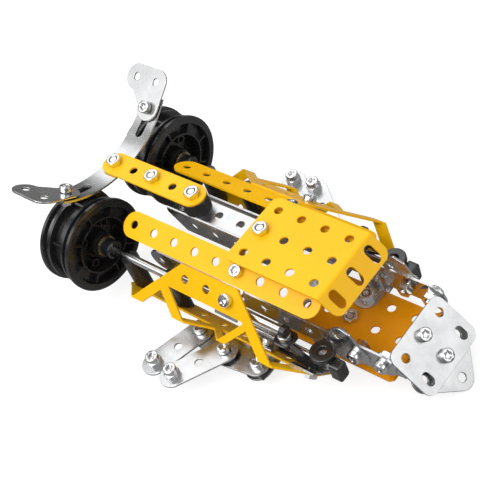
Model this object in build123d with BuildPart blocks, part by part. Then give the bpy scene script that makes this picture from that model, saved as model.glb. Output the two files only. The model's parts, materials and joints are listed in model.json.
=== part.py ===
"""Space jet built from a metal construction kit: perforated strips, plates, bolts and two wheel rims.

Frame: millimetres, +X towards the nose, +Y to the left side, +Z up.  The origin is the centre
of the deck plate's hole grid, on the deck's top face.
"""
import os
from math import cos, radians, sin, sqrt, tan

from build123d import *

# ---------------------------------------------------------------- driving dimensions
PITCH = 12.7              # hole spacing of the whole kit
STRIP_W = 12.7            # width of a plain strip
SHEET = 1.0               # thickness of strips and plates
HOLE_R = 2.05             # plain bolt hole
BOLT_R = 1.9              # bolt shank
HEAD_R = 3.1
HEAD_H = 2.8
SOCKET_AF = 2.8           # hexagon socket, across flats
SOCKET_DEPTH = 1.6
NUT_AF = 6.4
NUT_H = 2.9
TIP_OUT = 1.0             # a bolt's end stands out of its nut this far
TIP_SUNK = 0.5            # or is sunk this far, where the nut is on the outside
GAP = 0.35                # clearance between a moving piece and its neighbours
PIVOT_R = BOLT_R + 0.07   # hole of a piece that turns on its bolt

DECK_HALF_X = 25.4
DECK_HALF_Y = 19.05
FLANGE_LEN = 12.4         # front flange, from the fold to its tip
FLANGE_SLOT = (9.0, 4.8)  # length down the slope, width

SIDE_STRIP_Y = 19.64      # hole line of the nine-hole side strips, on their top face
SIDE_STRIP_Z = -5.43
SIDE_STRIP_TILT = 27.0

FOLD_Y = 43.4             # outer fold of the side frames
FOLD_Z = -27.1
FRAME_TILT = 47.5         # each panel's slope, up or down from the fold
ROW_DIST = 19.4           # from the fold to each row of holes
LOWER_SHIFT = -1.1        # the lower row sits this far behind the deck's columns

BELLY_Z = -41.5           # top face of the belly plate
KEEL_Y = 18.7             # inner face of the keel strips
KEEL_Z = -28.5

TAIL_Z = 6.21             # top face of the tail strip
ARC_R = 53.0              # inside radius of the curved tail strip
ARC_BOLT_ANGLE = 34.6
ARC_SLOT_ANGLE = 24.0

SPINE_Z = -2.0            # top face of the spine channel
SPINE_W = 13.0
SPINE_DEPTH = 12.5

AXLE_Y = 29.4
AXLE_Z = -19.0
AXLE_R = 2.0
WHEEL_X = -100.5          # front face of the wheel rims
WHEEL_W = 20.5
WHEEL_R = 23.2

WING_Z = -42.5            # top face of the wing strips
WING_PIVOTS = {"rear": (-42.55, 36.3), "front": (-24.05, 40.2)}
WING_LEVEL = {"rear": 0.0, "front": 1.35}
WING_SWEEPS = {
    ("rear", "right"): 18.0, ("rear", "left"): 36.0,
    ("front", "right"): 31.5, ("front", "left"): 50.8,
}

NOSE_SUM = 29.4           # x + z of the nose plate's outer face
NOSE_GAP = 3.2            # from the nose plate's back to the triangle's front

CANNON_Z = -33.0

SIDES = {"right": -1, "left": 1}

os.makedirs("parts", exist_ok=True)


def col(n):
    """X of hole column n of the deck; its rear column is number 0."""
    return (n - 1.5) * PITCH


def save(part, name):
    """Label a finished piece and write it."""
    part.label = name
    export_step(part, f"parts/{name}.step")


def leaning(x, y, z, side, tilt):
    """Plane that faces up and out on one side; its own x runs along +X."""
    return Plane((x, side * y, z), x_dir=(1, 0, 0), z_dir=(0, side * sin(radians(tilt)), cos(radians(tilt))))


def upright(x, y, z, side):
    """Plane that faces straight out on one side; its own x runs along +X."""
    return Plane((x, side * y, z), x_dir=(1, 0, 0), z_dir=(0, side, 0))


def frame_point(x, dist, side, half):
    """Point on a side frame's outer face; dist is measured from the fold, half is 1 above, -1 below."""
    slope = radians(FRAME_TILT)
    return (x, side * (FOLD_Y - dist * cos(slope)), FOLD_Z + half * dist * sin(slope))


def frame_plane(x, dist, side, half):
    """Plane on a side frame's outer face, facing away from the hull."""
    slope = radians(FRAME_TILT)
    normal = (0, side * sin(slope), half * cos(slope))
    return Plane(frame_point(x, dist, side, half), x_dir=(1, 0, 0), z_dir=normal)


# ---------------------------------------------------------------- repeated pieces
def flat_strip(plane, holes, hole_r=HOLE_R):
    """Round-ended strip behind the plane; its first hole is at the plane's origin."""
    with BuildPart() as strip:
        with BuildSketch(plane):
            with Locations(((holes - 1) * PITCH / 2, 0)):
                SlotCenterToCenter((holes - 1) * PITCH, STRIP_W)
            with Locations(*[(i * PITCH, 0) for i in range(holes)]):
                Circle(hole_r, mode=Mode.SUBTRACT)
        extrude(amount=-SHEET)
    return strip.part


def bolt(plane, grip):
    """Socket-head bolt whose head stands on the plane; grip is the shank behind it."""
    with BuildPart() as piece:
        with BuildSketch(plane):
            Circle(HEAD_R)
        extrude(amount=HEAD_H)
        with BuildSketch(plane.offset(HEAD_H)):
            RegularPolygon(SOCKET_AF / 2, 6, major_radius=False)
        extrude(amount=-SOCKET_DEPTH, mode=Mode.SUBTRACT)
        with BuildSketch(plane):
            Circle(BOLT_R)
        extrude(amount=-grip)
    return piece.part


def nut(plane):
    """Hexagon nut standing on the plane, with a bore just over the bolt's shank."""
    with BuildPart() as piece:
        with BuildSketch(plane):
            RegularPolygon(NUT_AF / 2, 6, major_radius=False)
            Circle(BOLT_R + 0.03, mode=Mode.SUBTRACT)
        extrude(amount=NUT_H)
    return piece.part


def joined(plane, stack, bolt_inside=False):
    """Bolt and nut that clamp a stack behind the plane; returns the pair."""
    far = Plane(plane.origin - plane.z_dir * stack, x_dir=plane.x_dir, z_dir=-plane.z_dir)
    if bolt_inside:
        return bolt(far, stack + NUT_H - TIP_SUNK), nut(plane)
    return bolt(plane, stack + NUT_H + TIP_OUT), nut(far)


hull_bolts = []
hull_nuts = []


def fasten(plane, stack, bolt_inside=False):
    """Add one bolt and its nut to the hull's fasteners."""
    new_bolt, new_nut = joined(plane, stack, bolt_inside)
    hull_bolts.append(new_bolt)
    hull_nuts.append(new_nut)


def screw(plane, stack):
    """Add a bolt that ends just past the last sheet, which its thread holds in."""
    hull_bolts.append(bolt(plane, stack + 0.4))


# ---------------------------------------------------------------- deck plate
with BuildPart() as deck_plate:
    with BuildSketch(Plane.XZ.offset(-DECK_HALF_Y)):
        with BuildLine():
            FLANGE_TIP = FLANGE_LEN / sqrt(2)
            Polyline(
                (-DECK_HALF_X, 0),
                (DECK_HALF_X, 0),
                (DECK_HALF_X + FLANGE_TIP, -FLANGE_TIP),
                (DECK_HALF_X + FLANGE_TIP - SHEET / sqrt(2), -FLANGE_TIP - SHEET / sqrt(2)),
                (DECK_HALF_X - SHEET * tan(radians(22.5)), -SHEET),
                (-DECK_HALF_X, -SHEET),
                close=True,
            )
        make_face()
    extrude(amount=2 * DECK_HALF_Y)
    fold_edges = deck_plate.edges().filter_by(Axis.Y).filter_by(
        lambda e: abs(e.center().X - DECK_HALF_X) < 1 and e.center().Z > -1.5)
    fillet(fold_edges.sort_by(Axis.Z)[-1], 2.0)
    fillet(fold_edges.sort_by(Axis.Z)[0], 1.0)
    fillet(deck_plate.edges().filter_by(Axis.Z), 4.0)
    with BuildSketch(Plane.XY):
        with GridLocations(PITCH, PITCH, 4, 3):
            Circle(HOLE_R)
    extrude(amount=-SHEET, mode=Mode.SUBTRACT)
    flange_plane = Plane((DECK_HALF_X, 0, 0), x_dir=(0, 1, 0), z_dir=(1, 0, 1))
    with BuildSketch(flange_plane):
        with Locations(*[(k * PITCH, -FLANGE_LEN / 2 - 0.2) for k in (-1, 0, 1)]):
            SlotOverall(*FLANGE_SLOT, rotation=90)
    extrude(amount=-3 * SHEET, both=True, mode=Mode.SUBTRACT)
    tip_corners = deck_plate.edges().filter_by(
        lambda e: e.center().X > DECK_HALF_X + 5 and abs(e.length - SHEET) < 0.01 and abs(e.center().Y) > 18)
    fillet(tip_corners, 4.5)
save(deck_plate.part, "deck_plate")

# ---------------------------------------------------------------- side strips
STACK_SIDE = 2 * SHEET
for side_name, side in SIDES.items():
    strip_plane = leaning(col(0) - 5 * PITCH, SIDE_STRIP_Y, SIDE_STRIP_Z, side, SIDE_STRIP_TILT)
    save(flat_strip(strip_plane, 9), f"side_strip_{side_name}")
    fasten(leaning(col(0), SIDE_STRIP_Y, SIDE_STRIP_Z, side, SIDE_STRIP_TILT), STACK_SIDE)

# ---------------------------------------------------------------- side frames
UPPER_BAND = (13.0, 25.6)
LOWER_BAND = (13.0, 26.2)
UPPER_COLS = (-25.4, -12.7, 0.0)
FRAME_SHIFT = col(0)      # the frames' own x starts at the deck's rear column


def band_polygons(half):
    """Bands of one panel as polygons in (x, distance from the fold)."""
    inner, outer = UPPER_BAND if half > 0 else LOWER_BAND
    if half > 0:
        rear_arm = [(-55.0, 0), (-48.0, 0), (-35.0 + 0.4, inner + 0.4), (-41.7, inner + 0.3)]
        rear_leg = [(-28.5, 0), (-21.6, 0), (-34.6, inner + 0.4), (-41.6, inner + 0.3)]
        cross = [(-1.5, 0), (3.1, 0), (3.1 + inner, inner + 0.3), (inner - 1.5, inner + 0.3)]
        front_arm = [(22.5, 0), (29.7, 0), (16.5, inner + 0.3), (9.3, inner + 0.3)]
        row = [(-41.8, inner), (16.6, inner), (4.0, outer), (-29.0, outer)]
    else:
        row = [(-70.5, inner + 2), (-68.5, inner), (40.5, inner), (42.5, inner + 2),
               (43.0, outer), (-71.0, outer)]
        rear_arm = [(-55.0, 0), (-48.0, 0), (-61.3, inner + 0.3), (-68.3, inner + 0.3)]
        rear_leg = [(-28.5, 0), (-21.6, 0), (-8.3, inner + 0.3), (-15.2, inner + 0.3)]
        cross = [(-1.5, 0), (3.1, 0), (-10.2, inner + 0.3), (-14.8, inner + 0.3)]
        front_arm = [(22.5, 0), (29.7, 0), (43.0 - 3.0, inner + 0.3), (35.8 - 3.0, inner + 0.3)]
    return [row, rear_arm, rear_leg, cross, front_arm]


def side_frame(side):
    """Folded truss: two sloping panels that meet at the outer fold."""
    with BuildPart() as frame:
        for half in (1, -1):
            face_plane = frame_plane(0, 0, side, half)
            inward = -1 if face_plane.y_dir.Y * side > 0 else 1
            for points in band_polygons(half):
                with BuildSketch(face_plane):
                    with BuildLine():
                        Polyline(*[(x + FRAME_SHIFT, inward * d) for x, d in points], close=True)
                    make_face()
                extrude(amount=-SHEET)
            shift = 0 if half > 0 else LOWER_SHIFT
            columns = UPPER_COLS if half > 0 else [(k - 5) * PITCH for k in range(9)]
            with BuildSketch(face_plane):
                with Locations(*[(x + shift + FRAME_SHIFT, inward * ROW_DIST) for x in columns]):
                    Circle(HOLE_R)
            extrude(amount=-SHEET, mode=Mode.SUBTRACT)
    return frame.part


for side_name, side in SIDES.items():
    save(side_frame(side), f"side_frame_{side_name}")
    screw(frame_plane(col(0), ROW_DIST, side, 1), 2 * SHEET)


# ---------------------------------------------------------------- bent cross pieces
def bent_strip(points, x, width=STRIP_W, bend=1.6):
    """Sheet bent along (y, z) points that lie on its upper face; width runs along X about x."""
    with BuildPart() as strip:
        with BuildSketch(Plane((x - width / 2, 0, 0), x_dir=(0, 1, 0), z_dir=(1, 0, 0))):
            with BuildLine():
                FilletPolyline(*points, radius=bend)
                offset(amount=SHEET, side=Side.RIGHT)
            make_face()
        extrude(amount=width)
    return strip.part


def drilled(part, planes, hole_r=HOLE_R):
    """The part with a round hole through it at each plane's origin."""
    with BuildPart() as work:
        add(part)
        for plane in planes:
            with BuildSketch(plane):
                Circle(hole_r)
            extrude(amount=2 * SHEET, both=True, mode=Mode.SUBTRACT)
    return work.part


TILT_SIDE = radians(SIDE_STRIP_TILT)
TILT_FRAME = radians(FRAME_TILT)


def former_outline():
    """Half outline of the former: under the deck, the side strip and the side frame."""
    strip_z = SIDE_STRIP_Z - SHEET / cos(TILT_SIDE)
    y_deck = SIDE_STRIP_Y + (strip_z + SHEET) / tan(TILT_SIDE)
    frame_z = FOLD_Z - SHEET / cos(TILT_FRAME)
    y_frame = (frame_z + FOLD_Y * tan(TILT_FRAME) - strip_z - SIDE_STRIP_Y * tan(TILT_SIDE)) / (
        tan(TILT_FRAME) - tan(TILT_SIDE))
    z_frame = strip_z - (y_frame - SIDE_STRIP_Y) * tan(TILT_SIDE)
    end = (y_frame + 13.0 * cos(TILT_FRAME), z_frame - 13.0 * sin(TILT_FRAME))
    return [(y_deck, -SHEET), (y_frame, z_frame), end]


half = former_outline()
former_points = [(-y, z) for y, z in reversed(half)] + half
former_holes = [Plane.XY.offset(-SHEET)]
for side in SIDES.values():
    former_holes.append(leaning(col(0), SIDE_STRIP_Y, SIDE_STRIP_Z, side, SIDE_STRIP_TILT))
    former_holes.append(frame_plane(col(0), ROW_DIST, side, 1))
former_holes[0] = Plane((col(0), 0, -SHEET))
upper_former = drilled(bent_strip(former_points, col(0)), former_holes)
save(upper_former, "upper_former")
fasten(Plane((col(0), 0, 0)), 3 * SHEET, bolt_inside=True)

# belly plate with a short flange at its front edge
BELLY_REAR = -4.0
BELLY_FRONT = 50.0
BELLY_COLS = (5.3, 18.0, 30.7, 43.4)
with BuildPart() as belly_plate:
    with BuildSketch(Plane.XZ.offset(-DECK_HALF_Y)):
        with BuildLine():
            FilletPolyline((BELLY_REAR, BELLY_Z), (BELLY_FRONT, BELLY_Z),
                           (BELLY_FRONT + 3.4, BELLY_Z + 3.4), radius=1.6)
            offset(amount=SHEET, side=Side.RIGHT)
        make_face()
    extrude(amount=2 * DECK_HALF_Y)
    with BuildSketch(Plane.XY.offset(BELLY_Z)):
        with Locations(*[(x, k * PITCH) for x in BELLY_COLS for k in (-1, 0, 1)]):
            Circle(HOLE_R)
    extrude(amount=SHEET, both=True, mode=Mode.SUBTRACT)
save(belly_plate.part, "belly_plate")

# front strap: flat under the belly plate, ends bent up along the lower frames' inner faces
INNER_BASE = frame_point(0, ROW_DIST, 1, -1)
INNER_Y = INNER_BASE[1] - SHEET * sin(TILT_FRAME)
INNER_Z = INNER_BASE[2] + SHEET * cos(TILT_FRAME)


def inner_face(z, lift=0.0):
    """|y| of the lower frame's inner face at height z, lifted off it by lift."""
    return INNER_Y + (z - INNER_Z) / tan(TILT_FRAME) - lift / sin(TILT_FRAME)


strap_top = BELLY_Z - SHEET
strap_bend_y = inner_face(strap_top, SHEET)
strap_end_z = -34.0
strap_half = [(strap_bend_y, strap_top), (inner_face(strap_end_z, SHEET), strap_end_z)]
strap_points = [(-y, z) for y, z in reversed(strap_half)] + strap_half
LOWER_X = [col(0) + LOWER_SHIFT + (k - 5) * PITCH for k in range(9)]
STRAP_X = LOWER_X[8]
strap_holes = [Plane((STRAP_X, k * PITCH, strap_top)) for k in (-1, 0, 1)]
strap_holes += [frame_plane(STRAP_X, ROW_DIST, side, -1) for side in SIDES.values()]
save(drilled(bent_strip(strap_points, STRAP_X), strap_holes), "front_belly_strap")
for side in SIDES.values():
    fasten(frame_plane(STRAP_X, ROW_DIST, side, -1), 2 * SHEET, bolt_inside=True)
fasten(Plane((STRAP_X, 0, BELLY_Z)), 2 * SHEET, bolt_inside=True)

# ---------------------------------------------------------------- spine channel
SPINE_REAR = -72.0
SPINE_FRONT = -12.0
with BuildPart() as spine_channel:
    with BuildSketch(Plane.YZ.offset(SPINE_REAR)):
        with BuildLine():
            FilletPolyline((-SPINE_W / 2, SPINE_Z - SPINE_DEPTH), (-SPINE_W / 2, SPINE_Z),
                           (SPINE_W / 2, SPINE_Z), (SPINE_W / 2, SPINE_Z - SPINE_DEPTH), radius=1.4)
            offset(amount=SHEET, side=Side.RIGHT)
        make_face()
    extrude(amount=SPINE_FRONT - SPINE_REAR)
    with BuildSketch(Plane.XZ.offset(-SPINE_W)):
        with BuildLine():
            Polyline((SPINE_REAR - 1, SPINE_Z - 3), (SPINE_REAR - 1, SPINE_Z - SPINE_DEPTH - 1),
                     (SPINE_REAR + 9, SPINE_Z - SPINE_DEPTH - 1), (SPINE_REAR, SPINE_Z - 3), close=True)
        make_face()
    extrude(amount=2 * SPINE_W, mode=Mode.SUBTRACT)
    with BuildSketch(Plane.XY.offset(SPINE_Z)):
        with Locations(*[(col(0) - k * PITCH, 0) for k in range(4)]):
            Circle(HOLE_R)
    extrude(amount=2 * SHEET, both=True, mode=Mode.SUBTRACT)
    with BuildSketch(Plane.XZ.offset(-SPINE_W)):
        with Locations(*[(col(0) - k * PITCH, SPINE_Z - 7.0) for k in range(4)]):
            Circle(HOLE_R)
    extrude(amount=2 * SPINE_W, mode=Mode.SUBTRACT)
save(spine_channel.part, "spine_channel")

# ---------------------------------------------------------------- tail strips and spacer
TAIL_X = [col(0) - (7 - k) * PITCH for k in range(5)]
RIB_STEP = 2.0
save(flat_strip(Plane((TAIL_X[0], 0, TAIL_Z)), 5), "tail_strip")
with BuildPart() as tail_rib_strip:
    add(flat_strip(Plane((TAIL_X[2], 0, TAIL_Z - SHEET)), 3))
    with BuildSketch(Plane.XY.offset(TAIL_Z - 2 * SHEET)):
        with Locations(*[(TAIL_X[3] + k * RIB_STEP, 0) for k in range(-4, 4)]):
            Rectangle(0.8, STRIP_W - 1.5)
    extrude(amount=-0.6)
save(tail_rib_strip.part, "tail_rib_strip")
SPACER_TOP = TAIL_Z - 2 * SHEET
with BuildPart() as tail_spacer:
    with BuildSketch(Plane.XZ):
        with BuildLine():
            Polyline((HOLE_R, SPACER_TOP), (5.6, SPACER_TOP), (6.3, SPINE_Z + 1.2),
                     (6.3, SPINE_Z), (HOLE_R, SPINE_Z), close=True)
        make_face()
    revolve(axis=Axis.Z)
spacer = Pos(TAIL_X[4], 0, 0) * tail_spacer.part
save(spacer, "tail_spacer")
TAIL_STACK = TAIL_Z - SPINE_Z + SHEET
fasten(Plane((TAIL_X[4], 0, TAIL_Z)), TAIL_STACK, bolt_inside=True)
fasten(Plane((TAIL_X[2], 0, TAIL_Z)), 2 * SHEET, bolt_inside=True)

# ---------------------------------------------------------------- curved tail strip
ARC_SAG = 0.42            # the curve's rise under the flat tail strip's edges
FIN_LIFT = 0.8            # the fins clear the curve by this much
ARC_TOP = TAIL_Z - SHEET - ARC_SAG
ARC_CENTRE_Z = ARC_TOP + ARC_R
ARC_END = ARC_BOLT_ANGLE + 6.6


def arc_plane(angle, lift=0.0):
    """Plane on the curved strip's upper face at an angle from straight down, facing the centre."""
    turn = radians(angle)
    origin = (TAIL_X[0], (ARC_R - lift) * sin(turn), ARC_CENTRE_Z - (ARC_R - lift) * cos(turn))
    return Plane(origin, x_dir=(1, 0, 0), z_dir=(0, -sin(turn), cos(turn)))


with BuildPart() as tail_arc_strip:
    with BuildSketch(Plane((TAIL_X[0] - STRIP_W / 2, 0, 0), x_dir=(0, 1, 0), z_dir=(1, 0, 0))):
        with BuildLine():
            CenterArc((0, ARC_CENTRE_Z), ARC_R, 270 - ARC_END, 2 * ARC_END)
            offset(amount=SHEET, side=Side.RIGHT)
        make_face()
    extrude(amount=STRIP_W)
    for angle in (-ARC_BOLT_ANGLE, 0, ARC_BOLT_ANGLE):
        with BuildSketch(arc_plane(angle)):
            Circle(HOLE_R)
        extrude(amount=2, both=True, mode=Mode.SUBTRACT)
    for angle in (-ARC_SLOT_ANGLE, ARC_SLOT_ANGLE):
        with BuildSketch(arc_plane(angle)):
            SlotOverall(10.0, 2 * HOLE_R, rotation=90)
        extrude(amount=2, both=True, mode=Mode.SUBTRACT)
save(tail_arc_strip.part, "tail_arc_strip")
fasten(Plane((TAIL_X[0], 0, TAIL_Z)), 2 * SHEET + ARC_SAG, bolt_inside=True)

# tail fins: corner brackets that turn on their bolts
for side_name, side in SIDES.items():
    fin_plane = arc_plane(side * ARC_BOLT_ANGLE, FIN_LIFT + SHEET)
    out = side * (1 if fin_plane.y_dir.Y > 0 else -1)
    with BuildPart() as fin:
        with BuildSketch(fin_plane):
            with Locations((0, out * PITCH / 2)):
                SlotCenterToCenter(PITCH, STRIP_W, rotation=90)
            with Locations((-PITCH / 2, out * PITCH)):
                SlotCenterToCenter(PITCH, STRIP_W)
            with BuildLine():
                Polyline((-6.35, 0), (-6.35, out * 8), (-PITCH, out * (PITCH - 6.35)), close=True)
            make_face()
            with Locations((0, 0), (0, out * PITCH), (-PITCH, out * PITCH)):
                Circle(PIVOT_R, mode=Mode.SUBTRACT)
        extrude(amount=-SHEET)
    save(fin.part, f"tail_fin_{side_name}")
    fasten(arc_plane(side * ARC_BOLT_ANGLE, FIN_LIFT + GAP + SHEET), FIN_LIFT + GAP + 2 * SHEET)

# ---------------------------------------------------------------- keel strips and side triangles
KEEL_X = [col(0) - 4.5 * PITCH + k * PITCH for k in range(11)]
KEEL_FASTEN = (9, 10)
for side_name, side in SIDES.items():
    keel_plane = upright(KEEL_X[0], KEEL_Y + SHEET, KEEL_Z, side)
    save(flat_strip(keel_plane, 11), f"keel_strip_{side_name}")
    outer_plane = upright(0, KEEL_Y + 2 * SHEET, 0, side)
    with BuildPart() as triangle:
        with BuildSketch(outer_plane):
            with BuildLine():
                up = 1 if outer_plane.y_dir.Z > 0 else -1
                outline = [(32.7, -13.0), (38.0, -15.0), (42.0, -23.0), (44.6, -26.0), (44.6, -31.0),
                           (38.5, -35.0), (29.2, -37.2), (24.0, -35.1), (22.0, -30.0), (27.5, -17.5)]
                Polyline(*[(x, up * z) for x, z in outline], close=True)
            make_face()
            with Locations((30.6, up * -19.6), (KEEL_X[9], up * KEEL_Z), (KEEL_X[8], up * KEEL_Z)):
                Circle(HOLE_R, mode=Mode.SUBTRACT)
        extrude(amount=-SHEET)
        fillet(triangle.edges().filter_by(Axis.Y), 2.0)
    save(triangle.part, f"side_triangle_{side_name}")
    fasten(upright(KEEL_X[9], KEEL_Y + 2 * SHEET, KEEL_Z, side), 3 * SHEET)
    fasten(upright(KEEL_X[10], KEEL_Y + SHEET, KEEL_Z, side), 2 * SHEET)

    # belly bracket: foot on the belly plate, leg up the keel strip's inner face
    leg_face = KEEL_Y - SHEET
    with BuildPart() as bracket:
        with BuildSketch(Plane.XY.offset(BELLY_Z + SHEET)):
            with Locations((STRAP_X, side * PITCH)):
                Circle(STRIP_W / 2)
            with Locations((STRAP_X, side * (PITCH + leg_face + SHEET) / 2)):
                Rectangle(STRIP_W, leg_face + SHEET - PITCH)
            with Locations((STRAP_X, side * PITCH)):
                Circle(HOLE_R, mode=Mode.SUBTRACT)
        extrude(amount=-SHEET)
        with BuildSketch(upright(STRAP_X, KEEL_Y, 0, side)):
            up = 1 if upright(STRAP_X, KEEL_Y, 0, side).y_dir.Z > 0 else -1
            with Locations((0, up * (BELLY_Z + 7.0))):
                Rectangle(STRIP_W, 14.0)
        extrude(amount=-SHEET)
    save(bracket.part, f"belly_bracket_{side_name}")
    fasten(Plane((STRAP_X, side * PITCH, BELLY_Z + SHEET)), 3 * SHEET, bolt_inside=True)

# ---------------------------------------------------------------- nose
NOSE_HALF = 18.4
NOSE_ROW = 60.7           # upper hole row, measured down the slope
NOSE_TOP = NOSE_ROW - PITCH / 2
NOSE_BOTTOM = NOSE_ROW + 1.5 * PITCH


def nose_plane(y, down, back=0.0):
    """Plane on the nose plate's outer face, back mm behind it; its own x runs along +Y."""
    x = (NOSE_SUM / sqrt(2) - back + down) / sqrt(2)
    z = (NOSE_SUM / sqrt(2) - back - down) / sqrt(2)
    return Plane((x, y, z), x_dir=(0, 1, 0), z_dir=(1, 0, 1))


middle = nose_plane(0, (NOSE_TOP + NOSE_BOTTOM) / 2)
row_offset = PITCH / 2 * (1 if middle.y_dir.Z > 0 else -1)
with BuildPart() as nose_plate:
    with BuildSketch(middle):
        RectangleRounded(2 * NOSE_HALF, NOSE_BOTTOM - NOSE_TOP, 4.5)
        with Locations((-PITCH, row_offset), (0, row_offset), (PITCH, row_offset)):
            Circle(HOLE_R, mode=Mode.SUBTRACT)
        with Locations((-PITCH, -row_offset), (0, -row_offset), (PITCH, -row_offset)):
            SlotOverall(6.6, 2 * HOLE_R, rotation=90, mode=Mode.SUBTRACT)
    extrude(amount=-SHEET)
save(nose_plate.part, "nose_plate")

LOW_ROW = NOSE_ROW + PITCH
TRIANGLE_BACK = SHEET + NUT_H
tri = nose_plane(0, LOW_ROW, TRIANGLE_BACK)
apex = PITCH * (-1 if tri.y_dir.Z > 0 else 1)
with BuildPart() as nose_triangle:
    with BuildSketch(tri):
        with Locations((-PITCH, 0), (PITCH, 0), (0, apex)):
            Circle(5.6)
        make_hull()
        with Locations((-PITCH, 0), (0, 0), (PITCH, 0), (0, apex)):
            Circle(HOLE_R, mode=Mode.SUBTRACT)
    extrude(amount=-SHEET)
save(nose_triangle.part, "nose_triangle")
fasten(nose_plane(0, LOW_ROW), TRIANGLE_BACK + SHEET)
hull_nuts.append(nut(nose_plane(0, LOW_ROW, TRIANGLE_BACK)))
fasten(nose_plane(0, NOSE_ROW), 2 * SHEET)

# yoke: a bar behind the plate whose two legs lie inside the keel strips
with BuildPart() as nose_yoke:
    with BuildSketch(nose_plane(0, NOSE_ROW, SHEET)):
        Rectangle(2 * KEEL_Y, 11.2)
        with Locations((-PITCH, 0), (0, 0), (PITCH, 0)):
            Circle(HOLE_R, mode=Mode.SUBTRACT)
    extrude(amount=-SHEET)
    for side in SIDES.values():
        leg_plane = upright(KEEL_X[10], KEEL_Y, KEEL_Z, side)
        up = 1 if leg_plane.y_dir.Z > 0 else -1
        top = nose_plane(0, NOSE_ROW - 5.6, SHEET).origin
        low = nose_plane(0, NOSE_ROW + 5.6, SHEET).origin
        with BuildSketch(leg_plane):
            with BuildLine():
                Polyline((top.X - KEEL_X[10], up * (top.Z - KEEL_Z)),
                         (low.X - KEEL_X[10], up * (low.Z - KEEL_Z)),
                         (-1.0, up * -6.0), (-5.6, up * -3.0), (-5.6, up * 3.0), (-1.0, up * 6.0),
                         close=True)
            make_face()
            Circle(HOLE_R, mode=Mode.SUBTRACT)
        extrude(amount=-SHEET)
        with BuildSketch(leg_plane.offset(-SHEET)):
            Circle(4.0)
        extrude(amount=-NUT_H - GAP, mode=Mode.SUBTRACT)
save(nose_yoke.part, "nose_yoke")

# ---------------------------------------------------------------- axle posts, rods and wheels
POST_R = 4.15
POST_X = (LOWER_X[0], LOWER_X[2])
ROD_REAR = WHEEL_X - WHEEL_W - 1.5
ROD_FRONT = 10.5
CAP_GRIP = 2.4            # how far the rod's end cap reaches over the rod
RUNNING = 0.06            # radial clearance of the rods in their posts
rod_caps = {}

for side_name, side in SIDES.items():
    posts = []
    for post_x in POST_X:
        with BuildPart() as post:
            with BuildSketch(Plane.XY.offset(BELLY_Z - 6)):
                with Locations((post_x, side * AXLE_Y)):
                    Circle(POST_R)
                    Circle(2.1, mode=Mode.SUBTRACT)
            extrude(amount=AXLE_Z - BELLY_Z + 6)
            inner = Plane((post_x, side * INNER_Y, INNER_Z), x_dir=(1, 0, 0),
                          z_dir=(0, -side * sin(TILT_FRAME), cos(TILT_FRAME)))
            split(bisect_by=inner, keep=Keep.TOP)
            with BuildSketch(Plane.YZ.offset(post_x - 10)):
                with Locations((side * AXLE_Y, AXLE_Z)):
                    Circle(AXLE_R + RUNNING)
            extrude(amount=20, mode=Mode.SUBTRACT)
        posts.append(post.part)
    save(Compound(children=posts), f"axle_posts_{side_name}")

    with BuildPart() as rod:
        with BuildSketch(Plane.YZ.offset(ROD_REAR)):
            with Locations((side * AXLE_Y, AXLE_Z)):
                Circle(AXLE_R)
        extrude(amount=ROD_FRONT - ROD_REAR)
        chamfer(rod.edges().filter_by(GeomType.CIRCLE), 0.4)
    save(rod.part, f"axle_rod_{side_name}")
    with BuildPart() as rod_cap:
        with BuildSketch(Plane.YZ.offset(ROD_FRONT - CAP_GRIP)):
            with Locations((side * AXLE_Y, AXLE_Z)):
                Circle(2.8)
        extrude(amount=CAP_GRIP + 0.8)
        chamfer(rod_cap.edges().filter_by(GeomType.CIRCLE), 0.4)
        with BuildSketch(Plane.YZ.offset(ROD_FRONT - CAP_GRIP)):
            with Locations((side * AXLE_Y, AXLE_Z)):
                Circle(AXLE_R)
        extrude(amount=CAP_GRIP, mode=Mode.SUBTRACT)
    rod_caps[side_name] = rod_cap.part


RIM_BORE = 4.2
BARREL_R = WHEEL_R - 4.2
RING_R = 14.4             # outside of the raised ring on the rim's face
WEB_FRONT = 7.0           # the web lies this far behind the rim's front face
WEB_REAR = 9.5
BOSS_RING = 10.2          # radius of the ring of four screw bosses


def rim_outline():
    """Half section of a rim as (depth behind the front face, radius), going round its edge."""
    edge = WHEEL_R
    half = [(0, edge - 1.4), (0.6, edge), (2.2, edge), (2.8, edge - 2.0), (4.6, edge - 2.6),
            (5.2, edge - 1.0), (6.4, edge - 1.0), (7.0, BARREL_R)]
    mirrored = [(WHEEL_W - d, r) for d, r in reversed(half)]
    inside_rear = [(WHEEL_W, BARREL_R - 1.0), (WEB_REAR, BARREL_R - 1.6), (WEB_REAR, 6.6),
                   (WHEEL_W - 2, 6.0), (WHEEL_W - 2, RIM_BORE)]
    inside_front = [(1.0, RIM_BORE), (1.0, 6.0), (WEB_FRONT, 6.6), (WEB_FRONT, RING_R - 1.3),
                    (0.8, RING_R - 0.8), (0.8, RING_R), (3.4, RING_R + 0.2), (3.4, edge - 4.2),
                    (0, edge - 3.6)]
    return half + mirrored + inside_rear + inside_front


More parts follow.
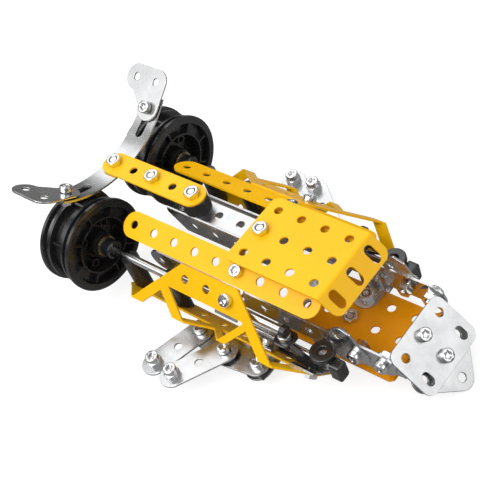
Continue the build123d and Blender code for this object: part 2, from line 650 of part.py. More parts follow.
for side_name, side in SIDES.items():
    front = Plane((WHEEL_X, side * AXLE_Y, AXLE_Z), x_dir=(0, 1, 0), z_dir=(1, 0, 0))
    axis = Axis((WHEEL_X, side * AXLE_Y, AXLE_Z), (1, 0, 0))
    with BuildPart() as wheel_rim:
        with BuildSketch(Plane((WHEEL_X, side * AXLE_Y, AXLE_Z), x_dir=(-1, 0, 0), z_dir=(0, -1, 0))):
            with BuildLine():
                Polyline(*rim_outline(), close=True)
            make_face()
        revolve(axis=axis)
        with BuildSketch(front.offset(-3.6)):
            with PolarLocations((RING_R + WHEEL_R - 4.0) / 2, 8):
                Rectangle(WHEEL_R - 4.0 - RING_R + 0.6, 0.9)
        extrude(amount=2.8)
        with BuildSketch(front.offset(-WEB_FRONT - 0.5)):
            with PolarLocations(BOSS_RING, 4, start_angle=45):
                Circle(2.3)
        extrude(amount=3.5)
        with BuildSketch(front.offset(-WEB_REAR - 1)):
            with PolarLocations(BOSS_RING, 4, start_angle=45):
                Circle(1.5)
        extrude(amount=12, mode=Mode.SUBTRACT)
        with BuildSketch(front.offset(-WHEEL_W + 1.5)):
            with PolarLocations(12.0, 8):
                Rectangle(11.4, 0.9)
        extrude(amount=WHEEL_W - WEB_REAR - 1)
        with BuildSketch(front.offset(-7.4)):
            with PolarLocations(BARREL_R + 0.9, 6, start_angle=20):
                Rectangle(2.6, 1.1)
        extrude(amount=-WHEEL_W + 14.8)
    save(wheel_rim.part, f"wheel_rim_{side_name}")
    with BuildPart() as bush:
        with BuildSketch(front.offset(-WHEEL_W + 1.6)):
            Circle(RIM_BORE)
            Circle(AXLE_R, mode=Mode.SUBTRACT)
        extrude(amount=WHEEL_W - 1.2)
        with BuildSketch(front.offset(-0.4)):
            Circle(5.2)
            Circle(AXLE_R, mode=Mode.SUBTRACT)
        extrude(amount=1.4)
    save(bush.part, f"wheel_bush_{side_name}")
    with BuildPart() as collar:
        with BuildSketch(front.offset(1.0)):
            Circle(4.4)
            Circle(AXLE_R, mode=Mode.SUBTRACT)
        extrude(amount=6.0)
        chamfer(collar.faces().sort_by(Axis.X)[-1].edges().sort_by(SortBy.LENGTH)[-1], 0.8)
    save(Compound(children=[collar.part, rod_caps[side_name]]), f"axle_collars_{side_name}")

# ---------------------------------------------------------------- wings
ROOT_TOP = WING_Z - SHEET - GAP
SPAR_TOP = -46.55
SPAR_X = LOWER_X[6]
SPAR_Y = (0.0, PITCH, 2 * PITCH, 3 * PITCH)
BLOCK_W = 9.0             # black spacer block between the spar and each wing root
SPACER_LEN = ROOT_TOP - SHEET - SPAR_TOP
with BuildPart() as wing_spar:
    with BuildSketch(Plane.XY.offset(SPAR_TOP)):
        with Locations((SPAR_X, 0)):
            SlotCenterToCenter(2 * SPAR_Y[-1], STRIP_W, rotation=90)
        with Locations(*[(SPAR_X, k * PITCH) for k in range(-3, 4)]):
            Circle(HOLE_R, mode=Mode.SUBTRACT)
    extrude(amount=-SHEET)
save(wing_spar.part, "wing_spar")

for side_name, side in SIDES.items():
    pivots = [(x, side * y) for x, y in WING_PIVOTS.values()]
    spar_hole = (SPAR_X, side * SPAR_Y[3])
    with BuildPart() as root:
        with BuildSketch(Plane.XY.offset(ROOT_TOP)):
            with Locations(*pivots, spar_hole):
                Circle(6.0)
            make_hull()
            with Locations((SPAR_X - 20, side * 20)):
                Rectangle(120, 2 * (30.2 - 20), mode=Mode.SUBTRACT)
            with Locations((SPAR_X, side * 31.9)):
                Rectangle(9.5, 6.4, mode=Mode.SUBTRACT)
            with Locations(*pivots, spar_hole):
                Circle(HOLE_R, mode=Mode.SUBTRACT)
        extrude(amount=-SHEET)
    save(root.part, f"wing_root_{side_name}")
    with BuildPart() as block:
        with BuildSketch(Plane.XY.offset(SPAR_TOP)):
            with Locations(spar_hole):
                Rectangle(STRIP_W, BLOCK_W)
                Circle(HOLE_R, mode=Mode.SUBTRACT)
        extrude(amount=SPACER_LEN)
    save(block.part, f"spar_block_{side_name}")
    fasten(Plane((*spar_hole, ROOT_TOP)), SPACER_LEN + 2 * SHEET)

    # obtuse bracket between the spar and the lower frame's inner face
    foot_top = SPAR_TOP + SHEET
    bend_y = inner_face(foot_top, SHEET)
    outline = [(SPAR_Y[1] - 6.0, foot_top), (bend_y, foot_top), (inner_face(-36.2, SHEET), -36.2)]
    ordered = outline if side > 0 else [(-y, z) for y, z in reversed(outline)]
    holes = [Plane((SPAR_X, side * SPAR_Y[1], foot_top)), frame_plane(SPAR_X, ROW_DIST, side, -1)]
    save(drilled(bent_strip(ordered, SPAR_X), holes), f"spar_bracket_{side_name}")
    fasten(Plane((SPAR_X, side * SPAR_Y[1], foot_top)), 2 * SHEET)
    fasten(frame_plane(SPAR_X, ROW_DIST, side, -1), 2 * SHEET, bolt_inside=True)

    for row, (pivot_x, pivot_y) in WING_PIVOTS.items():
        level = WING_Z + WING_LEVEL[row]
        sweep = radians(WING_SWEEPS[row, side_name])
        out = (-sin(sweep), side * cos(sweep))
        strip_plane = Plane((pivot_x, side * pivot_y, level), x_dir=(out[0], out[1], 0))
        save(flat_strip(strip_plane, 3, PIVOT_R), f"wing_{row}_{side_name}")
        tip = Plane((pivot_x + 2 * PITCH * out[0], side * pivot_y + 2 * PITCH * out[1], level))
        stack = [bolt(tip.offset(NUT_H), NUT_H + SHEET), nut(tip)]
        save(Compound(children=stack), f"wing_tip_bolt_{row}_{side_name}")
        if WING_LEVEL[row] > 0:
            with BuildPart() as washer:
                with BuildSketch(Plane.XY.offset(ROOT_TOP)):
                    with Locations((pivot_x, side * pivot_y)):
                        Circle(4.2)
                        Circle(BOLT_R + 0.03, mode=Mode.SUBTRACT)
                extrude(amount=WING_LEVEL[row])
            hull_nuts.append(washer.part)
        pivot = Plane((pivot_x, side * pivot_y, level + GAP))
        fasten(pivot, WING_LEVEL[row] + 2 * GAP + 2 * SHEET)

# ---------------------------------------------------------------- cannons
CANNON_Y = 28.0
BARREL_REAR = -14.0
BARREL_FRONT = 33.0
HOLDER_TOP = -25.8
HOLDER_SHEET = 1.4
RING_BASE = -27.8         # the ring stands on the holder's short arm
for side_name, side in SIDES.items():
    with BuildPart() as barrel:
        with BuildSketch(Plane.YZ.offset(BARREL_REAR)):
            with Locations((side * CANNON_Y, CANNON_Z)):
                RectangleRounded(3.0, 5.4, 1.2)
        extrude(amount=BARREL_FRONT - BARREL_REAR)
    save(barrel.part, f"cannon_barrel_{side_name}")
    with BuildPart() as muzzle:
        with BuildSketch(Plane.YZ.offset(BARREL_FRONT - 2)):
            with Locations((side * CANNON_Y, CANNON_Z)):
                RectangleRounded(6.0, 9.6, 1.5)
        extrude(amount=5.0)
        fillet(muzzle.faces().sort_by(Axis.X)[-1].edges(), 0.8)
        with BuildSketch(Plane.YZ.offset(BARREL_FRONT - 2)):
            with Locations((side * CANNON_Y, CANNON_Z)):
                RectangleRounded(3.0, 5.4, 1.2)
        extrude(amount=2.0, mode=Mode.SUBTRACT)
    save(muzzle.part, f"cannon_muzzle_{side_name}")

    # holder: open black frame with a long arm forward, standing on the lower frame's inner face
    holder_plane = upright(0, CANNON_Y + 1.6, 0, side)
    up = 1 if holder_plane.y_dir.Z > 0 else -1
    with BuildPart() as holder:
        with BuildSketch(holder_plane):
            with BuildLine():
                Polyline(*[(x, up * z) for x, z in
                           ((3.4, -26.2), (11.5, -26.2), (19.6, -31.9), (22.0, RING_BASE), (25.4, RING_BASE),
                            (23.4, -34.6), (26.0, -36.4), (1.2, -36.4))], close=True)
            make_face()
            with BuildLine():
                Polyline(*[(x, up * z) for x, z in
                           ((4.9, -28.4), (9.2, -28.4), (18.2, -34.6), (3.4, -34.6))], close=True)
            make_face(mode=Mode.SUBTRACT)
        extrude(amount=1.8)
        with BuildSketch(Plane.XY.offset(HOLDER_TOP - HOLDER_SHEET)):
            with Locations((7.4, side * (CANNON_Y + 0.6))):
                RectangleRounded(8.4, 8.4, 1.5)
        extrude(amount=HOLDER_SHEET)
        with BuildSketch(Plane.XY.offset(HOLDER_TOP)):
            with Locations((7.4, side * (CANNON_Y + 0.6))):
                Circle(HOLE_R)
        extrude(amount=-3 * HOLDER_SHEET, mode=Mode.SUBTRACT)
    save(holder.part, f"cannon_holder_{side_name}")
    screw(Plane((7.4, side * (CANNON_Y + 0.6), HOLDER_TOP)), HOLDER_SHEET)

    with BuildPart() as ring:
        with BuildSketch(Plane.XY.offset(RING_BASE)):
            with Locations((26.0, side * (CANNON_Y - 1.0))):
                Circle(5.6)
                Circle(HOLE_R, mode=Mode.SUBTRACT)
        extrude(amount=2.6)
        fillet(ring.edges().filter_by(GeomType.CIRCLE).group_by(Axis.Z)[-1], 0.6)
    save(ring.part, f"cannon_ring_{side_name}")

hull_bolts_piece = Compound(children=hull_bolts)
hull_nuts_piece = Compound(children=hull_nuts)
save(hull_bolts_piece, "hull_bolts")
save(hull_nuts_piece, "hull_nuts")
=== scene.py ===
"""Looks of the construction-kit space jet: a studio, painted and plated materials, and pieces
with rolled edges, chamfered nuts and threaded bolts that stand for the plain CAD solids.

Lengths are in metres, in the CAD row frame: +X to the nose, +Y to the left, +Z up.
"""
import json
from math import cos, pi, radians, sin, tan

import bmesh
import bpy
from mathutils import Matrix, Vector


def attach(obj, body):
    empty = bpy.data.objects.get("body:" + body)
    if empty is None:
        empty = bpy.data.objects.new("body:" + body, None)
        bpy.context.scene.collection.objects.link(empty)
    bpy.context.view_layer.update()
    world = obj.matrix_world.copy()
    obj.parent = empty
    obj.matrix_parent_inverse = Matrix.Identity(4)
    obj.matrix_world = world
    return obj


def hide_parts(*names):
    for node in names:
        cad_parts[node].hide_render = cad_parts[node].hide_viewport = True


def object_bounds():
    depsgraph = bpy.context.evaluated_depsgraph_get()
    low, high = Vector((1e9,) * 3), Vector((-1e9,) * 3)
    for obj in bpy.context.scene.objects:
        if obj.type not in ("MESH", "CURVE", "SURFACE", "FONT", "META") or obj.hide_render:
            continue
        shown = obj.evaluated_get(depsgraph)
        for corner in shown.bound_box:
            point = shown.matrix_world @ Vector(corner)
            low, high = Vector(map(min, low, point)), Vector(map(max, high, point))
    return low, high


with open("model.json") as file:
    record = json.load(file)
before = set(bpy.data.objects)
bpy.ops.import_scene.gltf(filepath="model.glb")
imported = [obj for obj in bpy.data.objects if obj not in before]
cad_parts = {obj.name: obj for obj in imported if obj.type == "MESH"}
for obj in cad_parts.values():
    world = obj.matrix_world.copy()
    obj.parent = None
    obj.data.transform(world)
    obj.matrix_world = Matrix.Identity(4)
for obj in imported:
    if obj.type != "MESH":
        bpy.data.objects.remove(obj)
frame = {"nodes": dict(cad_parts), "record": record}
cad_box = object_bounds()

MM = 0.001

# ---------------------------------------------------------------- camera
CAMERA_AZIMUTH = 56.71
CAMERA_ELEVATION = 46.54
CAMERA_ROLL = 24.33
CAMERA_DISTANCE = 481.5 * MM
CAMERA_TARGET = Vector((-32.8, -0.2, -20.0)) * MM
CAMERA_LENS = 77.2
SENSOR = 36

# ---------------------------------------------------------------- fasteners, as in the CAD design
HEAD_R = 3.1 * MM
HEAD_H = 2.8 * MM
SOCKET_AF = 2.8 * MM
SOCKET_DEPTH = 1.6 * MM
SHANK_R = 1.9 * MM
THREAD_PITCH = 0.7 * MM
THREAD_DEPTH = 0.22 * MM
NUT_AF = 6.4 * MM
HEAD_ROUNDING = 0.5 * MM  # rounded upper edge of a bolt's head
RELIEF = 0.25 * MM        # depth of the countersinks of sockets and bores
BREAK = 0.2 * MM          # broken edge of heads and washers
BORE_FLARE = 0.3 * MM     # a nut's countersink is this much wider than its bore
TIP_TAPER = 0.35 * MM     # the thread's end narrows by this much
THREAD_STEPS = 5          # rings for each turn of the thread
SOCKET_POINT = 0.3 * MM   # radius of the socket's drilled point
SOCKET_MOUTH = 1.22       # socket's flared mouth, as a multiple of its inside radius
NUT_CROWN = 0.97          # flat face of a nut, as a share of its inside radius
NUT_SLOPE = radians(32)   # slope of a nut's chamfered corners
NUT_LEAST = 2.0 * MM      # a thinner solid of the nuts' node is a washer
BOLT_REACH = 1.05 * HEAD_R     # a solid within this distance of its axis is a bolt
CLEAR_OF_BORE = 1.3 * SHANK_R  # a nut's sides are farther from its axis than this
TURN_STEPS = 48

# ---------------------------------------------------------------- surfaces and studio
LEVEL_STEP = 0.05 * MM    # faces this close in height count as one face
WELD = 1e-6               # vertices closer than this are one
FLAT_ANGLE = radians(0.3)
EDGE_ANGLE = radians(30)  # sharper edges than this are rounded
SMOOTH_ANGLE = radians(40)
EDGE_PROFILE = 0.6
FLOOR_DROP = 0.1 * MM
SURROUND = ((0.0, 0.10), (0.20, 0.16), (0.34, 0.50), (0.52, 0.80), (0.75, 0.70), (1.0, 1.0))
SURROUND_STRENGTH = 0.62
LIGHTS = (                # name, azimuth, elevation, distance, size, power
    ("key_light", -10, 60, 1.1, 0.9, 8.2),
    ("left_light", -46, 38, 1.1, 0.7, 1.7),
    ("side_light", 112, 33, 1.1, 0.7, 1.75),
    ("back_light", 236, 47, 1.1, 0.8, 2.4))
FLOOR_RADIUS = 15.0
BACKDROP = (1.5, 1.5, 1.5)     # what the camera sees above the floor, before the surround's strength
FLOOR_GLOW = 0.80         # brightness added to the floor where the camera sees it directly

EDGE = {"yellow_paint": 0.32 * MM, "zinc_steel": 0.22 * MM, "bright_steel": 0.15 * MM,
        "black_plastic": 0.22 * MM, "rubber": 0.3 * MM, "brass": 0.15 * MM}


def aim(azimuth, elevation):
    """Unit vector from the target towards a viewer at that azimuth and elevation, in degrees."""
    a = radians(azimuth)
    e = radians(elevation)
    return Vector((sin(a) * cos(e), -cos(a) * cos(e), sin(e)))


def make_camera():
    """The camera at the reference angle, rolled about its own line of sight."""
    back = aim(CAMERA_AZIMUTH, CAMERA_ELEVATION)
    level = Vector((cos(radians(CAMERA_AZIMUTH)), sin(radians(CAMERA_AZIMUTH)), 0))
    over = back.cross(level)
    roll = radians(CAMERA_ROLL)
    right = level * cos(roll) - over * sin(roll)
    up = back.cross(right)
    data = bpy.data.cameras.new("camera")
    data.lens = CAMERA_LENS
    data.sensor_width = SENSOR
    data.clip_start = 0.01
    camera = bpy.data.objects.new("camera", data)
    turn = Matrix((right, up, back)).transposed().to_4x4()
    camera.matrix_world = Matrix.Translation(CAMERA_TARGET + back * CAMERA_DISTANCE) @ turn
    bpy.context.collection.objects.link(camera)
    bpy.context.scene.camera = camera


def area_light(name, azimuth, elevation, distance, size, power):
    """Square soft light aimed at the object's middle."""
    data = bpy.data.lights.new(name, "AREA")
    data.shape = "SQUARE"
    data.size = size
    data.energy = power
    light = bpy.data.objects.new(name, data)
    back = aim(azimuth, elevation)
    light.location = CAMERA_TARGET + back * distance
    light.rotation_euler = back.to_track_quat("Z", "Y").to_euler()
    bpy.context.collection.objects.link(light)


# ---------------------------------------------------------------- materials
class Shader:
    """A new material with its Principled shader and short ways to add nodes."""

    def __init__(self, name):
        self.material = bpy.data.materials.new(name)
        self.material.use_nodes = True
        self.nodes = self.material.node_tree.nodes
        self.links = self.material.node_tree.links
        self.bsdf = self.nodes["Principled BSDF"]
        self.place = self.nodes.new("ShaderNodeTexCoord").outputs["Object"]

    def noise(self, scale, detail=4.0, stretch=None):
        """Noise over the object's own metres; stretch scales its three directions."""
        source = self.place
        if stretch:
            mapping = self.nodes.new("ShaderNodeMapping")
            mapping.inputs["Scale"].default_value = stretch
            self.links.new(source, mapping.inputs["Vector"])
            source = mapping.outputs["Vector"]
        tex = self.nodes.new("ShaderNodeTexNoise")
        tex.inputs["Scale"].default_value = scale
        tex.inputs["Detail"].default_value = detail
        self.links.new(source, tex.inputs["Vector"])
        return tex.outputs["Fac"]

    def ramp(self, value, low, high, start=0.3, end=0.7):
        """Colour from low to high as the value goes from start to end."""
        node = self.nodes.new("ShaderNodeValToRGB")
        node.color_ramp.elements[0].position = start
        node.color_ramp.elements[1].position = end
        node.color_ramp.elements[0].color = (*low, 1)
        node.color_ramp.elements[1].color = (*high, 1)
        self.links.new(value, node.inputs["Fac"])
        return node.outputs["Color"]

    def spread(self, value, low, high, start=0.3, end=0.7):
        """Number from low to high as the value goes from start to end."""
        node = self.nodes.new("ShaderNodeMapRange")
        node.inputs["From Min"].default_value = start
        node.inputs["From Max"].default_value = end
        node.inputs["To Min"].default_value = low
        node.inputs["To Max"].default_value = high
        self.links.new(value, node.inputs["Value"])
        return node.outputs["Result"]

    def set(self, **values):
        """Constants on the shader's own sockets; underscores stand for spaces."""
        for key, value in values.items():
            self.bsdf.inputs[key.replace("_", " ")].default_value = value

    def feed(self, output, socket):
        """Link an output to one of the shader's sockets."""
        self.links.new(output, self.bsdf.inputs[socket])

    def bump(self, height, strength, distance):
        """Surface relief from a height."""
        node = self.nodes.new("ShaderNodeBump")
        node.inputs["Strength"].default_value = strength
        node.inputs["Distance"].default_value = distance
        self.links.new(height, node.inputs["Height"])
        self.links.new(node.outputs["Normal"], self.bsdf.inputs["Normal"])


def yellow_paint():
    """Glossy chrome-yellow stove enamel with a faint orange peel and uneven film."""
    s = Shader("yellow_paint")
    s.feed(s.ramp(s.noise(35.0, 2.0), (0.99, 0.51, 0.0005), (1.0, 0.55, 0.001)), "Base Color")
    s.feed(s.spread(s.noise(420.0, 6.0), 0.26, 0.38), "Roughness")
    s.set(Coat_Weight=0.12, Coat_Roughness=0.16, Specular_IOR_Level=0.22)
    s.bump(s.noise(900.0, 2.0), 0.06, 0.03 * MM)
    return s.material


def belly_painted_shade():
    """The same enamel with the hull's warm shade painted into its colour: painted shade, deeper and
    more orange.
    """
    s = Shader("belly_painted_shade")
    s.feed(s.ramp(s.noise(35.0, 2.0), (0.92, 0.34, 0.0005), (0.98, 0.40, 0.001)), "Base Color")
    s.feed(s.spread(s.noise(420.0, 6.0), 0.26, 0.38), "Roughness")
    s.set(Coat_Weight=0.12, Coat_Roughness=0.16, Specular_IOR_Level=0.22)
    s.bump(s.noise(900.0, 2.0), 0.06, 0.03 * MM)
    return s.material


def socket_painted_shade():
    """Painted shade inside the bolts' hexagon sockets: dark steel standing for the shade in the
    recess.
    """
    s = Shader("socket_painted_shade")
    s.feed(s.ramp(s.noise(900.0), (0.05, 0.05, 0.052), (0.12, 0.12, 0.122)), "Base Color")
    s.feed(s.spread(s.noise(1500.0, 6.0), 0.30, 0.45), "Roughness")
    s.set(Metallic=1.0)
    s.bump(s.noise(1600.0, 2.0), 0.04, 0.01 * MM)
    return s.material


def zinc_steel():
    """Zinc-plated sheet: cool satin grey with cloudy plating and fine rolling marks along X."""
    s = Shader("zinc_steel")
    s.feed(s.ramp(s.noise(110.0, 5.0), (0.58, 0.585, 0.59), (0.65, 0.655, 0.66)), "Base Color")
    s.feed(s.spread(s.noise(160.0, 4.0), 0.19, 0.30), "Roughness")
    s.set(Metallic=1.0)
    s.bump(s.noise(2600.0, 2.0, stretch=(0.08, 1.0, 1.0)), 0.05, 0.01 * MM)
    return s.material


def bright_steel():
    """Nickel-bright fasteners and rods with tiny scuffs."""
    s = Shader("bright_steel")
    s.feed(s.ramp(s.noise(350.0), (0.66, 0.665, 0.67), (0.80, 0.80, 0.80)), "Base Color")
    s.feed(s.spread(s.noise(1500.0, 6.0), 0.10, 0.20), "Roughness")
    s.set(Metallic=1.0)
    s.bump(s.noise(1600.0, 2.0), 0.04, 0.01 * MM)
    return s.material


def black_plastic():
    """Moulded black plastic: satin skin with a fine spark-eroded grain."""
    s = Shader("black_plastic")
    s.feed(s.ramp(s.noise(160.0), (0.011, 0.011, 0.0115), (0.018, 0.018, 0.0185)), "Base Color")
    s.feed(s.spread(s.noise(700.0, 6.0), 0.18, 0.30), "Roughness")
    s.set(Specular_IOR_Level=0.8)
    s.bump(s.noise(2600.0, 2.0), 0.08, 0.02 * MM)
    return s.material


def rubber():
    """Dull black rubber with a dusty bloom."""
    s = Shader("rubber")
    s.feed(s.ramp(s.noise(300.0, 6.0), (0.008, 0.008, 0.008), (0.02, 0.02, 0.02)), "Base Color")
    s.feed(s.spread(s.noise(900.0), 0.45, 0.7), "Roughness")
    s.bump(s.noise(1800.0, 4.0), 0.15, 0.04 * MM)
    return s.material


def brass():
    """Turned brass with a finely mottled, slightly dull finish."""
    s = Shader("brass")
    s.feed(s.ramp(s.noise(300.0), (0.46, 0.36, 0.18), (0.66, 0.55, 0.32)), "Base Color")
    s.feed(s.spread(s.noise(1200.0, 6.0), 0.18, 0.34), "Roughness")
    s.set(Metallic=1.0)
    s.bump(s.noise(2000.0), 0.06, 0.02 * MM)
    return s.material


def floor_paint():
    """Pale matt studio floor, lit from within for the camera and plain grey in reflections."""
    s = Shader("floor_paint")
    s.feed(s.ramp(s.noise(6.0), (0.30, 0.30, 0.30), (0.34, 0.34, 0.34)), "Base Color")
    s.feed(s.spread(s.noise(40.0), 0.7, 0.9), "Roughness")
    s.set(Emission_Color=(1, 1, 1, 1), Specular_IOR_Level=0.2)
    seen = s.nodes.new("ShaderNodeLightPath").outputs["Is Camera Ray"]
    s.feed(s.spread(seen, 0.0, FLOOR_GLOW, 0.0, 1.0), "Emission Strength")
    return s.material


MATERIALS = {make.__name__: make() for make in
             (yellow_paint, zinc_steel, bright_steel, black_plastic, rubber, brass)}
BELLY_PAINTED_SHADE = belly_painted_shade()
SOCKET_PAINTED_SHADE = socket_painted_shade()
SLOT = {entry["node"]: entry["material_slot"] for entry in frame["record"]["subparts"]}
BODY = {node: body for body, nodes in frame["record"]["behaviour"]["bodies"].items() for node in nodes}


# ---------------------------------------------------------------- pieces made from the CAD solids
def new_piece(name, mesh, node):
    """Object for a mesh that replaces a CAD node, rides with it and takes its material."""
    piece = bpy.data.objects.new(name, mesh)
    bpy.context.collection.objects.link(piece)
    mesh.materials.clear()
    # the belly plate takes the painted-shade copy of the yellow enamel
    mesh.materials.append(BELLY_PAINTED_SHADE if node == "belly_plate" else MATERIALS[SLOT[node]])
    mesh.shade_smooth()
    mesh.set_sharp_from_angle(angle=SMOOTH_ANGLE)
    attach(piece, BODY[node])
    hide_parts(node)
    return piece


def clean_copy(node):
    """The node's surface with its flat faces whole again."""
    work = bmesh.new()
    work.from_mesh(frame["nodes"][node].data)
    bmesh.ops.remove_doubles(work, verts=work.verts, dist=WELD)
    bmesh.ops.dissolve_limit(work, angle_limit=FLAT_ANGLE, verts=work.verts, edges=work.edges)
    return work


def rolled_edges(node, width):
    """Piece with the node's shape and its sharp edges rounded, as on pressed and moulded parts."""
    work = clean_copy(node)
    sharp = [e for e in work.edges if e.is_manifold and e.calc_face_angle() > EDGE_ANGLE]
    bmesh.ops.bevel(work, geom=sharp, offset=width, offset_type="OFFSET", segments=2,
                    profile=EDGE_PROFILE, affect="EDGES", clamp_overlap=True)
    mesh = bpy.data.meshes.new(node + "_edged")
    work.to_mesh(mesh)
    work.free()
    piece = new_piece(node + "_edged", mesh, node)
    weighted = piece.modifiers.new("flat_faces", "WEIGHTED_NORMAL")
    weighted.keep_sharp = True
    return piece


# ---------------------------------------------------------------- bolts and nuts
def islands(node):
    """Separate solids of a node, each as (faces' centres, normals and areas, vertex positions)."""
    work = bmesh.new()
    work.from_mesh(frame["nodes"][node].data)
    bmesh.ops.remove_doubles(work, verts=work.verts, dist=WELD)
    found = []
    seen = set()
    for start in work.faces:
        if start.index in seen:
            continue
        stack = [start]
        seen.add(start.index)
        faces = []
        while stack:
            face = stack.pop()
            faces.append(face)
            for edge in face.edges:
                for other in edge.link_faces:
                    if other.index not in seen:
                        seen.add(other.index)
                        stack.append(other)
        rows = [(f.calc_center_median(), f.normal.copy(), f.calc_area()) for f in faces]
        points = {tuple(v.co) for f in faces for v in f.verts}
        found.append((rows, [Vector(p) for p in sorted(points)]))
    work.free()
    return found


def main_face(rows):
    """Normal of the largest flat face of a solid, its area summed over its triangles."""
    sums = {}
    for centre, normal, area in rows:
        key = (round(normal.x, 2), round(normal.y, 2), round(normal.z, 2),
               round(centre.dot(normal) / LEVEL_STEP))
        total, weight = sums.get(key, (Vector((0, 0, 0)), 0.0))
        sums[key] = (total + normal * area, weight + area)
    return max(sums.values(), key=lambda item: item[1])[0].normalized()


def axis_frame(points, axis):
    """(middle of the solid across its axis, lowest and highest place along the axis)."""
    side = axis.orthogonal().normalized()
    other = axis.cross(side)
    spans = []
    for direction in (side, other):
        values = [p.dot(direction) for p in points]
        spans.append((min(values) + max(values)) / 2)
    along = [p.dot(axis) for p in points]
    return side * spans[0] + other * spans[1], min(along), max(along)


class Turned:
    """Mesh made of closed rings about an axis; each ring is one radius and height per step."""

    def __init__(self, work, base, axis, start):
        self.work = work
        self.base = base
        self.axis = axis
        self.u = start
        self.v = axis.cross(start)
        self.last = None

    def ring(self, radius, height):
        """Add a ring and join it to the one before; radius and height may be functions of the turn."""
        verts = []
        for k in range(TURN_STEPS):
            turn = 2 * pi * k / TURN_STEPS
            r = radius(turn) if callable(radius) else radius
            h = height(turn) if callable(height) else height
            verts.append(self.work.verts.new(
                self.base + self.axis * h + (self.u * cos(turn) + self.v * sin(turn)) * r))
        if self.last:
            self.join(verts)
        self.last = verts

    def cap(self):
        """Close the last ring with one face."""
        self.work.faces.new(self.last)

    def join(self, verts):
        """Band of faces from the last ring to another one."""
        for k in range(TURN_STEPS):
            n = (k + 1) % TURN_STEPS
            self.work.faces.new((self.last[k], self.last[n], verts[n], verts[k]))


def hex_radius(across_flats):
    """Distance from the centre to a hexagon's side, as a function of the turn."""
    def radius(turn):
        off = (turn + pi / 6) % (pi / 3) - pi / 6
        return across_flats / 2 / cos(off)
    return radius


def thread_radius(height):
    """Radius of a right-handed thread at a height, as a function of the turn."""
    def radius(turn):
        phase = (height / THREAD_PITCH - turn / (2 * pi)) % 1.0
        return SHANK_R - THREAD_DEPTH * abs(2 * phase - 1)
    return radius


def add_bolt(work, base, axis, start, shank):
    """Socket-head bolt: base is under the head's middle, axis points out of the head."""
    turned = Turned(work, base, axis, start)
    steps = int(shank / (THREAD_PITCH / THREAD_STEPS))
    tip_r = SHANK_R - TIP_TAPER
    turned.ring(tip_r, -shank)
    first = list(turned.last)
    for k in range(1, steps + 1):
        height = -shank + k * shank / steps
        fade = min(1.0, (k * shank / steps) / (2 * TIP_TAPER))
        thread = thread_radius(height)
        turned.ring(lambda t, thread=thread, fade=fade: thread(t) * fade + tip_r * (1 - fade), height)
    turned.ring(HEAD_R - BREAK, 0.0)
    turned.ring(HEAD_R, BREAK)
    turned.ring(HEAD_R, HEAD_H - HEAD_ROUNDING)
    for k in (1, 2, 3):
        bend = k * pi / 6
        turned.ring(HEAD_R - HEAD_ROUNDING * (1 - cos(bend)), HEAD_H - HEAD_ROUNDING * (1 - sin(bend)))
    socket = hex_radius(SOCKET_AF)
    turned.ring(SOCKET_AF / 2 * SOCKET_MOUTH, HEAD_H)
    turned.ring(socket, HEAD_H - RELIEF)
    # the socket's walls and floor, from here on, take the second material: painted shade in the recess
    painted_shade_from = len(work.faces)
    turned.ring(socket, HEAD_H - SOCKET_DEPTH)
    turned.ring(SOCKET_POINT, HEAD_H - SOCKET_DEPTH - RELIEF)
    turned.cap()
    for face in list(work.faces)[painted_shade_from:]:
        face.material_index = 1
    work.faces.new(list(reversed(first)))


def add_nut(work, base, axis, start, height, across_flats, bore):
    """Hexagon nut with corners chamfered on both faces and a countersunk bore."""
    turned = Turned(work, base, axis, start)
    outer = hex_radius(across_flats)
    crown = across_flats / 2 * NUT_CROWN

    def drop(turn):
        return max(0.0, outer(turn) - crown) * tan(NUT_SLOPE)

    turned.ring(bore, RELIEF)
    first = list(turned.last)
    turned.ring(bore + BORE_FLARE, 0.0)
    turned.ring(crown, 0.0)
    turned.ring(outer, drop)
    turned.ring(outer, lambda t: height - drop(t))
    turned.ring(crown, height)
    turned.ring(bore + BORE_FLARE, height)
    turned.ring(bore, height - RELIEF)
    turned.join(first)


def add_washer(work, base, axis, start, height, radius):
    """Flat washer with broken outer edges."""
    turned = Turned(work, base, axis, start)
    turned.ring(SHANK_R, 0.0)
    first = list(turned.last)
    turned.ring(radius - BREAK, 0.0)
    turned.ring(radius, BREAK)
    turned.ring(radius, height - BREAK)
    turned.ring(radius - BREAK, height)
    turned.ring(SHANK_R, height)
    turned.join(first)


def fine_fasteners(node):
    """Piece with a detailed bolt, nut or washer in place of each of the node's plain solids."""
    work = bmesh.new()
    for rows, points in islands(node):
        axis = main_face(rows)
        middle, low, high = axis_frame(points, axis)
        start = axis.orthogonal().normalized()
        reach = max((p - middle - axis * p.dot(axis)).length for p in points)
        if reach < BOLT_REACH:
            add_bolt(work, middle + axis * (high - HEAD_H), axis, start, high - low - HEAD_H)
        elif high - low > NUT_LEAST:
            sides = [row for row in rows if abs(row[1].dot(axis)) < 0.1 and
                     (row[0] - middle - axis * row[0].dot(axis)).length > CLEAR_OF_BORE]
            flat = max(sides, key=lambda row: row[2])[1]
            start = (flat - axis * flat.dot(axis)).normalized()
            add_nut(work, middle + axis * low, axis, start, high - low, NUT_AF, SHANK_R)
        else:
            add_washer(work, middle + axis * low, axis, start, high - low, reach)
    bmesh.ops.recalc_face_normals(work, faces=work.faces)
    mesh = bpy.data.meshes.new(node + "_fine")
    work.to_mesh(mesh)
    work.free()
    piece = new_piece(node + "_fine", mesh, node)
    # second slot: the painted shade inside the bolts' sockets
    mesh.materials.append(SOCKET_PAINTED_SHADE)
    return piece


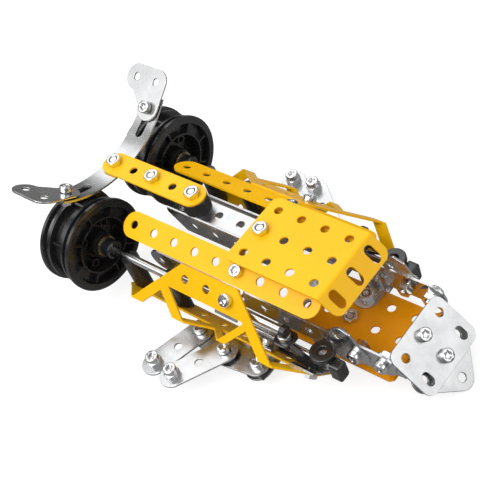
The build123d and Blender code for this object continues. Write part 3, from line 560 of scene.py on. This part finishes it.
def make_pieces():
    """A fine piece for every CAD node."""
    for node in sorted(frame["nodes"]):
        if node in ("hull_bolts", "hull_nuts") or node.startswith("wing_tip_bolt"):
            fine_fasteners(node)
        else:
            rolled_edges(node, EDGE[SLOT[node]])


# ---------------------------------------------------------------- studio
def make_floor():
    """Round pale floor just under the object."""
    work = bmesh.new()
    bmesh.ops.create_circle(work, cap_ends=True, segments=128, radius=FLOOR_RADIUS)
    mesh = bpy.data.meshes.new("studio_floor")
    work.to_mesh(mesh)
    work.free()
    floor = bpy.data.objects.new("studio_floor", mesh)
    floor.location = (CAMERA_TARGET.x, CAMERA_TARGET.y, cad_box[0].z - FLOOR_DROP)
    mesh.materials.append(floor_paint())
    bpy.context.collection.objects.link(floor)


def make_world():
    """Surround that is dark low down and light above, by the sine of the elevation.

    The camera itself sees a plain pale backdrop; the dark part shows only in reflections.
    """
    world = bpy.data.worlds.new("studio")
    world.use_nodes = True
    bpy.context.scene.world = world
    nodes = world.node_tree.nodes
    links = world.node_tree.links
    place = nodes.new("ShaderNodeTexCoord").outputs["Generated"]
    split = nodes.new("ShaderNodeSeparateXYZ")
    ramp = nodes.new("ShaderNodeValToRGB")
    while len(ramp.color_ramp.elements) < len(SURROUND):
        ramp.color_ramp.elements.new(0.5)
    for element, (position, level) in zip(ramp.color_ramp.elements, SURROUND):
        element.position = position
        element.color = (level, level, level, 1)
    links.new(place, split.inputs["Vector"])
    links.new(split.outputs["Z"], ramp.inputs["Fac"])
    mix = nodes.new("ShaderNodeMixRGB")
    mix.inputs["Color2"].default_value = (*BACKDROP, 1)
    links.new(nodes.new("ShaderNodeLightPath").outputs["Is Camera Ray"], mix.inputs["Fac"])
    links.new(ramp.outputs["Color"], mix.inputs["Color1"])
    links.new(mix.outputs["Color"], nodes["Background"].inputs["Color"])
    nodes["Background"].inputs["Strength"].default_value = SURROUND_STRENGTH


bpy.context.scene.view_settings.view_transform = "Standard"
make_camera()
make_world()
make_floor()
for light in LIGHTS:
    area_light(*light)
make_pieces()
